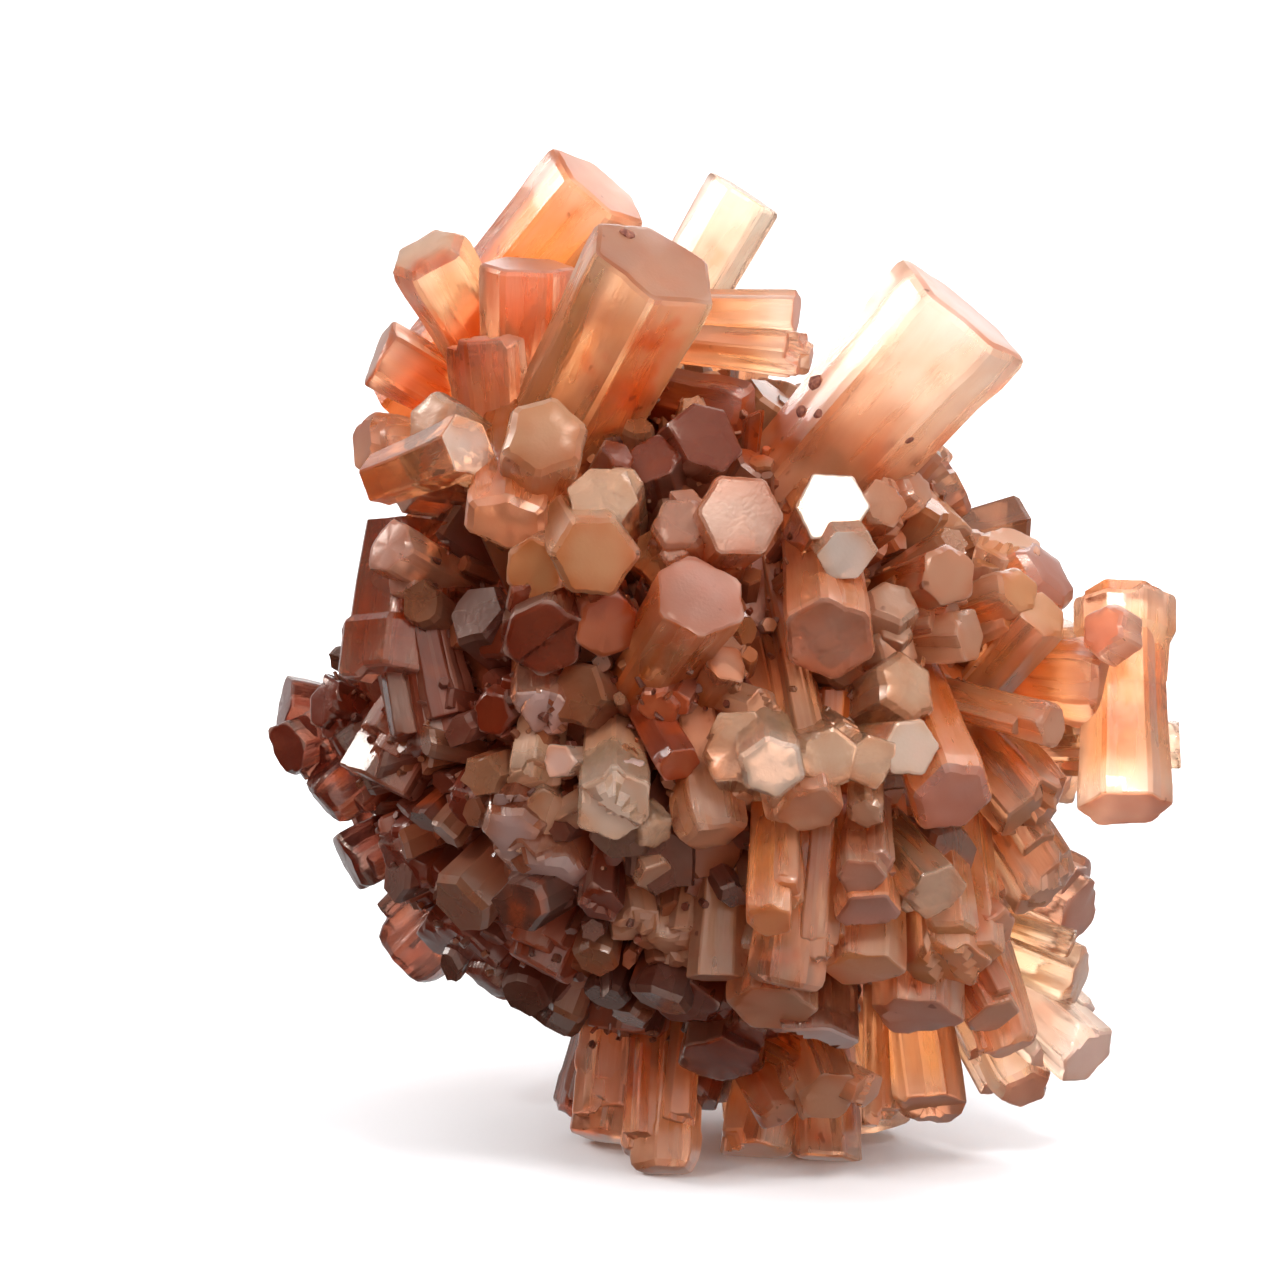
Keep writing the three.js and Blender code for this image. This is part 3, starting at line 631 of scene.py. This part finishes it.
# Where a point is: in its crystal's grain, on an end or a side, near the rim, or far down a cleft. The
# floor and the mouth of the clefts are given by how far they are from the cluster's middle, in metres.
CLEFT_FLOOR, CLEFT_MOUTH = 0.0225, 0.0285
DRAWN_OUT = (1, 1, 0.16)
tone = read(shade, "tone", "Color")
grain_at = read(shade, "grain", "Vector")
ends = read(shade, "on_end")
sides = math_node(shade, "SUBTRACT", 1, ends)
rim_at = read(shade, "rim")
place = add(shade, "ShaderNodeTexCoord").outputs["Object"]
drawn = add(shade, "ShaderNodeVectorMath", {0: grain_at, 1: DRAWN_OUT}, operation="MULTIPLY").outputs[0]
from_end = times(shade, add(shade, "ShaderNodeSeparateXYZ", {0: grain_at}).outputs["Z"], -1)


def distance(tree, a, b):
    """How far apart two places are."""
    return add(tree, "ShaderNodeVectorMath", {0: a, 1: b}, operation="DISTANCE").outputs["Value"]


out_from_middle = distance(shade, place, tuple(STANDING @ HEART_MIDDLE * MM))
cleft = ramp(shade, out_from_middle, CLEFT_FLOOR, CLEFT_MOUTH, 1, 0)

# Milky veils run along the grain. The body is fresh and pale next to the end and warmer towards the root.
milky_white = srgb(253, 230, 208)
fresh_white = srgb(248, 224, 208)
warm_tint = srgb(238, 176, 124)
veil = noise(shade, drawn, 0.55, 2, 0.55)
cloud = noise(shade, place, 190, 2, 0.6)
milk = times(shade, ramp(shade, veil, 0.36, 0.74), times(shade, read(shade, "milky"), 0.6))
body = blend(shade, times(shade, milk, sides), tone, milky_white)
warmer = blend(shade, 1.0, body, warm_tint, "MULTIPLY")
fresh = times(shade, ramp(shade, from_end, 0.5, 4.5, 0.7, 0), sides)
fresh = times(shade, fresh, read(shade, "milky"))
body = blend(shade, fresh, body, fresh_white)
rooted = times(shade, ramp(shade, from_end, 2, 15), sides)
body = blend(shade, times(shade, rooted, 0.75), body, warmer)
body = blend(shade, times(shade, ramp(shade, cloud, 0.42, 0.7), 0.4), body, warmer)

# Rust lies in clouds all over. It also lies in patches on the tall crystals, each given by how far across,
# up and near it is and by its radius, in millimetres.
rust = srgb(224, 92, 20)
patch_rust = srgb(226, 92, 16)
stain = ramp(shade, noise(shade, place, 170, 2, 0.62), 0.56, 0.68)
rusty = times(shade, stain, read(shade, "stained"))
rusty = times(shade, rusty, math_node(shade, "ADD", 0.2, sides), True)
body = blend(shade, rusty, body, rust)
rust_patches = [
    (-3.6, 25.2, 20, 3.4), (-6.6, 21.2, 18, 3.2), (-21.6, 30.6, 9, 3.8), (0.8, 32.6, -4, 3.6),
    (-18.8, 24.4, 14, 3.6), (6.0, 17.4, 14, 5.0), (12.2, 28.2, 14, 2.6), (8.9, 24.5, 13, 3.6),
    (5.8, 21.0, 12.5, 4.2), (14.5, 15.2, 17, 3.5), (22.6, 20.8, 15, 1.9), (19.2, 16.8, 15, 2.4),
    (-0.6, 39.6, 8, 3), (-26.2, 5.6, 14, 3),
]
for across, up, near, radius in rust_patches:
    away = distance(shade, place, tuple(STANDING @ Vector((across, up, near)) * MM))
    patch = ramp(shade, away, 0.15 * radius * MM, radius * MM, 0.85, 0)
    patch = times(shade, patch, ramp(shade, cloud, 0.3, 0.62))
    body = blend(shade, patch, body, patch_rust)

# The clefts are darker, partly for their rust and partly as painted shade, rusty places have specks, and a
# painted glow and a painted pale rim stand in for light round the rims of the ends.
cleft_rust_and_shade = srgb(124, 40, 10)
speck_brown = srgb(120, 46, 14)
painted_glow_tint = srgb(246, 196, 150)
painted_rim_white = srgb(250, 228, 212)
# Partly painted shade: the body turns dark brown down the clefts.
body = blend(shade, times(shade, cleft, 0.72), body, cleft_rust_and_shade)
speckled = ramp(shade, noise(shade, place, 1100, 0), 0.72, 0.8, 0, 0.7)
speckled = times(shade, speckled, ramp(shade, stain, 0.1, 0.6))
body = blend(shade, speckled, body, speck_brown)
# Painted glow: round the rims of the ends the body is tinted warmer, standing in for light through them.
painted_rim_glow = times(shade, ramp(shade, rim_at, 0.35, 0.95, 0.1, 0.75), ends)
painted_rim_glow = times(shade, painted_rim_glow, ramp(shade, cloud, 0.3, 0.62))
body = blend(shade, painted_rim_glow, body, blend(shade, 1.0, body, painted_glow_tint, "MULTIPLY"))
# Painted highlight: a paler band right at the rims of the ends.
painted_pale_rim = times(shade, times(shade, ramp(shade, rim_at, 0.84, 0.98), ends), 0.3)
body = blend(shade, painted_pale_rim, body, painted_rim_white)

# How rough it is: sides and ends have a gloss of their own, and the clefts are rough.
GLOSSY_SIDE = 0.12
CLEFT_ROUGH = 0.38
gloss = read(shade, "gloss")
end_rough = ramp(shade, gloss, 0, 1, 0.34, 0.06)
veiled_side = ramp(shade, veil, 0.35, 0.7, 0.22, 0.42)
side_rough = mixed(shade, ramp(shade, gloss, 0.35, 0.6), veiled_side, GLOSSY_SIDE)
rough = mixed(shade, cleft, mixed(shade, ends, side_rough, end_rough), CLEFT_ROUGH)

# Fine ribs run along the sides.
RIB_DEPTH = 0.0002
ribbed = ramp(shade, ends, 0, 1, 0.16, 0.06)
ribs = noise(shade, drawn, 3.5, 1, 0.5)
relief = add(shade, "ShaderNodeBump", {"Height": ribs, "Strength": ribbed, "Distance": RIB_DEPTH})

# How clear it is: at least this much on the sides, less on the ends of crystals that aren't milky, and
# little in the clefts.
LEAST_CLEAR = 0.52
side_clear = math_node(shade, "ADD", LEAST_CLEAR, read(shade, "clear"), True)
end_clear = ramp(shade, read(shade, "milky"), 0.05, 0.2, 0.5, 0.7)
clear = times(shade, mixed(shade, ends, side_clear, end_clear), ramp(shade, cleft, 0, 1, 1, 0.35))
skin = add(shade, "ShaderNodeBsdfPrincipled", {
    "Base Color": body, "Roughness": rough, "Normal": relief.outputs[0], "IOR": 1.5,
    "Specular IOR Level": 0.32, "Specular Tint": (1, 0.78, 0.64, 1), "Transmission Weight": clear,
    "Coat Weight": times(shade, sides, 0.3), "Coat Roughness": 0.05,
})
add(shade, "ShaderNodeOutputMaterial", {"Surface": skin.outputs[0]})
whole.materials.clear()
whole.materials.append(finish)

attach(cluster, "root")
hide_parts("crystal_cluster")

# ---- Young crystals ----
# Short young crystals of the same aragonite, grown out of the heart so that they fill the clefts between
# the big ones. They come in three sizes, down to a grit of tiny grains.
def young_shape(number, points):
    """A stub of a crystal, one across and one long, on its root, with a worn edge and a sloping end."""
    made = bmesh.new()
    rings = []
    seed = number * 17
    slope = Vector((chance(seed + 1.1) - 0.5, chance(seed + 2.1) - 0.5)) * 0.5
    for size, height in ((0.85, -0.3), (1, 0.9), (0.88, 1)):
        ring = []
        for i in range(points):
            angle = math.radians(360 / points * i + 8 * (chance(seed + i + 0.4) - 0.5))
            between_corners = 0.87 if i % (points // 6) else 1
            push = size * (0.5 + 0.09 * (chance(seed + i + 0.7) - 0.5)) * between_corners
            point = Vector((push * math.cos(angle), push * math.sin(angle)))
            lift = slope.dot(point) if height > 0 else 0
            ring.append(made.verts.new((*point, height + lift)))
        rings.append(ring)
    for low, high in zip(rings, rings[1:]):
        for i in range(points):
            n = (i + 1) % points
            made.faces.new((low[i], low[n], high[n], high[i]))
    made.faces.new(rings[0][::-1])
    made.faces.new(rings[-1])
    mesh = bpy.data.meshes.new(f"young_{number}")
    made.to_mesh(mesh)
    made.free()
    on_end = mesh.attributes.new("on_end", "FLOAT", "FACE")
    on_end.data.foreach_set("value", [1.0 if p.normal.z > 0.6 else 0.0 for p in mesh.polygons])
    grain = mesh.attributes.new("grain", "FLOAT_VECTOR", "POINT")
    grain.data.foreach_set("vector", [c * 3 for v in mesh.vertices for c in v.co])
    for name, value in (("milky", 0.1), ("clear", 0.2), ("stained", 0.4), ("gloss", 0.4)):
        same = mesh.attributes.new(name, "FLOAT", "POINT")
        same.data.foreach_set("value", [value] * len(mesh.vertices))
    return bpy.data.objects.new(mesh.name, mesh)


SHAPES = 6
young_shapes = bpy.data.collections.new("young_shapes")
grains = bpy.data.collections.new("grains")
for number in range(SHAPES):
    young_shapes.objects.link(young_shape(number, points=12))
    grains.objects.link(young_shape(number, points=6))

# The growth stands crystals on the cluster wherever it is within reach of its middle. Sizes are in metres.
growing_tree = bpy.data.node_groups.new("young_crystals", "GeometryNodeTree")
sockets = {}
for name, kind, value in (
    ("Geometry", "NodeSocketGeometry", None),
    ("Middle", "NodeSocketVector", tuple(STANDING @ HEART_MIDDLE * MM)),
    ("Reach", "NodeSocketFloat", 0.0228),
    ("Spacing", "NodeSocketFloat", 0.002),
    ("Thinnest", "NodeSocketFloat", 0.0014),
    ("Widest", "NodeSocketFloat", 0.0034),
    ("Shortest", "NodeSocketFloat", 0.002),
    ("Longest", "NodeSocketFloat", 0.006),
    ("Lean", "NodeSocketFloat", 0.35),
    ("Seed", "NodeSocketInt", 3),
    ("Shapes", "NodeSocketCollection", young_shapes),
    ("Finish", "NodeSocketMaterial", finish),
):
    socket = growing_tree.interface.new_socket(name, in_out="INPUT", socket_type=kind)
    if value is not None:
        socket.default_value = value
    sockets[name] = socket.identifier
growing_tree.interface.new_socket("Geometry", in_out="OUTPUT", socket_type="NodeSocketGeometry")
given = add(growing_tree, "NodeGroupInput").outputs


def vector_node(operation, inputs, output=0):
    """A calculation on vectors in the growth."""
    return add(growing_tree, "ShaderNodeVectorMath", inputs, operation=operation).outputs[output]


def drawn_lot(low, high, salt, kind="FLOAT"):
    """A random number or vector for each young crystal, always the same for the same seed and salt."""
    made = add(growing_tree, "FunctionNodeRandomValue", data_type=kind)
    limits = [s for s in made.inputs if s.name in ("Min", "Max") and s.enabled]
    for socket, value in zip(limits, (low, high)):
        if isinstance(value, bpy.types.NodeSocket):
            growing_tree.links.new(value, socket)
        else:
            socket.default_value = value
    growing_tree.links.new(math_node(growing_tree, "ADD", given["Seed"], salt), made.inputs["Seed"])
    return [s for s in made.outputs if s.enabled][0]


# Spots on the lower part of the clefts, never closer together than the spacing.
MOST_TO_A_SQUARE_METRE = 400000.0
where = add(growing_tree, "GeometryNodeInputPosition").outputs[0]
out = vector_node("SUBTRACT", {0: where, 1: given["Middle"]})
how_far = vector_node("LENGTH", {0: out}, "Value")
within_reach = add(growing_tree, "FunctionNodeCompare", {0: how_far, 1: given["Reach"]},
                   operation="LESS_THAN")
spots = add(growing_tree, "GeometryNodeDistributePointsOnFaces", {
    "Mesh": given["Geometry"], "Selection": within_reach.outputs[0], "Distance Min": given["Spacing"],
    "Density Max": MOST_TO_A_SQUARE_METRE, "Seed": given["Seed"],
}, distribute_method="POISSON")

# Each stands straight out from the middle, leans a little and is turned about itself.
FULL_TURN = 6.28
lean = drawn_lot((-1, -1, -1), (1, 1, 1), 11, "FLOAT_VECTOR")
lean = vector_node("SCALE", {0: lean, "Scale": given["Lean"]})
leaning = vector_node("ADD", {0: vector_node("NORMALIZE", {0: out}), 1: lean})
turned = add(growing_tree, "FunctionNodeAlignRotationToVector", {"Vector": leaning}, axis="Z")
spin = add(growing_tree, "ShaderNodeCombineXYZ", {"Z": drawn_lot(0.0, FULL_TURN, 12)})
spun = add(growing_tree, "FunctionNodeRotateRotation", {"Rotation": turned.outputs[0], 1: spin.outputs[0]},
           rotation_space="LOCAL")

# Most are thin and few are wide.
FEW_ARE_WIDE = 1.6
thin = math_node(growing_tree, "POWER", drawn_lot(0.0, 1.0, 13), FEW_ARE_WIDE)
width = add(growing_tree, "ShaderNodeMapRange", {
    "Value": thin, "To Min": given["Thinnest"], "To Max": given["Widest"],
}).outputs[0]
long = drawn_lot(given["Shortest"], given["Longest"], 14)
size = add(growing_tree, "ShaderNodeCombineXYZ", {"X": width, "Y": width, "Z": long})
stub = add(growing_tree, "GeometryNodeCollectionInfo", {
    "Collection": given["Shapes"], "Separate Children": True,
})
stubs = add(growing_tree, "GeometryNodeInstanceOnPoints", {
    "Points": spots.outputs["Points"], "Instance": stub.outputs[0], "Pick Instance": True,
    "Instance Index": drawn_lot(0, SHAPES - 1, 16, "INT"), "Rotation": spun.outputs[0],
    "Scale": size.outputs[0],
})

# They are painted dark on the lower left and lighter towards the upper right, as painted shade and painted
# light like the big ones, and vary a little at random.
PAINTED_LIGHT_SIDE = (0.75, 0.1, 0.65)
SHADED_UP_TO, LIT_FROM = -0.012, 0.04
shaded_young = srgb(96, 36, 16)
lit_young = srgb(230, 150, 88)
side_to_side = vector_node("DOT_PRODUCT", {0: out, 1: PAINTED_LIGHT_SIDE}, "Value")
lit_share = add(growing_tree, "ShaderNodeMapRange", {
    "Value": side_to_side, "From Min": SHADED_UP_TO, "From Max": LIT_FROM,
})
lit_share = math_node(growing_tree, "ADD", lit_share.outputs[0], drawn_lot(-0.4, 0.4, 15))
young_tone = blend(growing_tree, lit_share, shaded_young, lit_young)
toned_stubs = add(growing_tree, "GeometryNodeStoreNamedAttribute", {
    "Geometry": stubs.outputs[0], "Name": "tone",
}, data_type="FLOAT_COLOR", domain="INSTANCE")
growing_tree.links.new(young_tone, [s for s in toned_stubs.inputs if s.name == "Value" and s.enabled][0])
real = add(growing_tree, "GeometryNodeRealizeInstances", {"Geometry": toned_stubs.outputs[0]})
done = add(growing_tree, "GeometryNodeSetMaterial", {
    "Geometry": real.outputs[0], "Material": given["Finish"],
})
add(growing_tree, "NodeGroupOutput", {0: done.outputs[0]})


def grow_young(name, **wanted):
    """One growth of young crystals on the cluster, as a mesh of its own."""
    host = bpy.data.objects.new(name, whole)
    bpy.context.scene.collection.objects.link(host)
    growth = host.modifiers.new(name, "NODES")
    growth.node_group = growing_tree
    for key, value in wanted.items():
        growth[sockets[key]] = value
    mesh = bpy.data.meshes.new_from_object(host.evaluated_get(bpy.context.evaluated_depsgraph_get()))
    host.modifiers.clear()
    host.data = mesh
    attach(host, "root")


grow_young("middling_crystals", Spacing=0.0034, Thinnest=0.0026, Widest=0.006, Shortest=0.0028,
           Longest=0.0062, Seed=5)
grow_young("young_crystals", Spacing=0.0021, Thinnest=0.0011, Widest=0.0028, Shortest=0.0018,
           Longest=0.0048, Seed=3)
grow_young("grit", Reach=0.0262, Spacing=0.0012, Thinnest=0.0003, Widest=0.0009, Shortest=0.0003,
           Longest=0.0008, Lean=1.2, Seed=8, Shapes=grains)

# ---- Clay crumbs ----
# A few crumbs of red-brown clay, from the ground that the cluster was dug out of. They dried onto the big
# crystals and sit there flattened against the face.
clay = bpy.data.materials.new("clay")
clay.use_nodes = True
clay_tree = clay.node_tree
clay_skin = clay_tree.nodes["Principled BSDF"]
clay_place = add(clay_tree, "ShaderNodeTexCoord").outputs["Object"]
speckle = ramp(clay_tree, noise(clay_tree, clay_place, 2500, 3, 0.6), 0.35, 0.7)
clay_tone = blend(clay_tree, speckle, srgb(86, 34, 22), srgb(140, 84, 62))
clay_tree.links.new(clay_tone, clay_skin.inputs["Base Color"])
clay_skin.inputs["Roughness"].default_value = 0.8

# Each row gives how far across and up a crumb is and how wide, in millimetres, and a number that its lumps
# are worked out from. It lies where a line going straight back from in front of the cluster meets a face.
crumb_rows = [
    (-6.0, 33.3, 1.3, 0),
    (8.6, 21.9, 1.5, 1),
    (7.5, 19.7, 1.2, 2),
    (8.8, 19.5, 1.1, 3),
    (15.8, 17.4, 0.8, 5),
]
IN_FRONT = 60
FLATTENED = Matrix.Diagonal((1, 0.8, 0.35, 1))
LUMPS_PER_METRE = 1500
LUMPY = 0.5
surface = BVHTree.FromPolygons([v.co.copy() for v in whole.vertices], [p.vertices for p in whole.polygons])
straight_back = (STANDING.to_3x3() @ Vector((0, 0, -1))).normalized()
crumbs = bmesh.new()
for across, up, width, lumps in crumb_rows:
    start = STANDING @ Vector((across, up, IN_FRONT)) * MM
    spot, normal, _, _ = surface.ray_cast(start, straight_back)
    lump = bmesh.ops.create_icosphere(crumbs, subdivisions=2, radius=width * 0.5 * MM)["verts"]
    against_face = normal.to_track_quat("Z", "Y").to_matrix().to_4x4() @ FLATTENED
    for v in lump:
        swell = 1 + LUMPY * noise_vector(v.co * LUMPS_PER_METRE + Vector((lumps, 0, 0))).x
        v.co = spot + against_face @ (v.co * swell)
crumb_mesh = bpy.data.meshes.new("crumbs")
crumbs.to_mesh(crumb_mesh)
crumbs.free()
crumb_mesh.materials.append(clay)
clay_crumbs = bpy.data.objects.new("crumbs", crumb_mesh)
bpy.context.scene.collection.objects.link(clay_crumbs)
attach(clay_crumbs, "root")

# ---- Floor, light and camera ----
# The cluster stands on white paper in a white studio. The room is bright behind the viewer, and dim and
# warm at the lower left. Softboxes stand round the cluster, and a long lens looks at it from in front.
FLOOR_REACH = 3
floor_corners = [(x * FLOOR_REACH, y * FLOOR_REACH, 0) for x, y in ((-1, -1), (1, -1), (1, 1), (-1, 1))]
floor_mesh = bpy.data.meshes.new("floor")
floor_mesh.from_pydata(floor_corners, [], [(0, 1, 2, 3)])
floor = bpy.data.objects.new("floor", floor_mesh)
bpy.context.scene.collection.objects.link(floor)
paper = bpy.data.materials.new("paper")
paper.use_nodes = True
paper_skin = paper.node_tree.nodes["Principled BSDF"]
paper_skin.inputs["Base Color"].default_value = (0.84, 0.84, 0.86, 1)
paper_skin.inputs["Roughness"].default_value = 0.9
floor_mesh.materials.append(paper)
floor.visible_diffuse = False
floor.visible_glossy = False

# The room's light, and what the camera sees of it, which is plain white.
WHITE = (1, 1, 1)
WARM_SHADE = (1, 0.62, 0.46)
LOWER_LEFT = (-0.85, -0.4, -0.35)
world = bpy.data.worlds.new("studio")
bpy.context.scene.world = world
world.use_nodes = True
sky = world.node_tree
around = add(sky, "ShaderNodeTexCoord").outputs["Generated"]
turned_to = add(sky, "ShaderNodeSeparateXYZ", {0: around}).outputs
front_to_back = ramp(sky, turned_to["Y"], -0.8, 0.4, 1.75, 0.84)
above = ramp(sky, turned_to["Z"], -0.1, 0.9, 0.0, 0.1)
to_left = add(sky, "ShaderNodeVectorMath", {0: around, 1: LOWER_LEFT}, operation="DOT_PRODUCT")
to_left = to_left.outputs["Value"]
strength = math_node(sky, "ADD", front_to_back, above)
strength = times(sky, strength, ramp(sky, turned_to["Z"], -0.8, 0.0, 0.6, 1.0))
strength = times(sky, strength, ramp(sky, to_left, 0.3, 0.9, 1.0, 0.14))
seen = add(sky, "ShaderNodeLightPath").outputs["Is Camera Ray"]
strength = mixed(sky, seen, strength, 1.0)
warm = blend(sky, ramp(sky, to_left, 0.1, 0.8), WHITE, WARM_SHADE)
backdrop = sky.nodes["Background"].inputs
sky.links.new(blend(sky, seen, warm, WHITE), backdrop["Color"])
sky.links.new(strength, backdrop["Strength"])

AIM = Vector((0, 0, 0.04))


def softbox(name, at, size, power):
    """A square light that looks at the cluster's middle. Places and sizes are in metres, power in watts."""
    light = bpy.data.lights.new(name, "AREA")
    light.size = size
    light.energy = power
    made = bpy.data.objects.new(name, light)
    made.location = at
    made.rotation_euler = (AIM - Vector(at)).to_track_quat("-Z", "Y").to_euler()
    bpy.context.scene.collection.objects.link(made)


softbox("key", (0.35, 0.15, 0.55), 0.3, 1.4)
softbox("back", (0.1, 0.6, 0.3), 0.4, 1.0)
softbox("left", (-0.59, 0.24, 0.38), 0.2, 2.2)
softbox("lamp", (-0.38, -0.36, 0.5), 0.07, 0.8)
softbox("window", (0.219, -0.429, 0.546), 0.14, 2.6)

# The camera is 1.5 m in front of the cluster and looks a little left of its middle.
CAMERA_PLACE = (-5, 2, 1500)
camera = bpy.data.objects.new("camera", bpy.data.cameras.new("camera"))
bpy.context.scene.collection.objects.link(camera)
camera.data.sensor_width = 36
camera.data.lens = 540
camera.data.clip_end = 10
camera.matrix_world = STANDING @ Matrix.Translation(CAMERA_PLACE)
camera.location = (STANDING @ Vector(CAMERA_PLACE)) * MM
bpy.context.scene.camera = camera
bpy.context.scene.view_settings.view_transform = "Standard"

# Light passes through a few crystals and no more, so that a render stays quick.
paths = bpy.context.scene.cycles
paths.max_bounces = 5
paths.diffuse_bounces = 2
paths.glossy_bounces = 2
paths.transmission_bounces = 4
paths.adaptive_threshold = 0.15
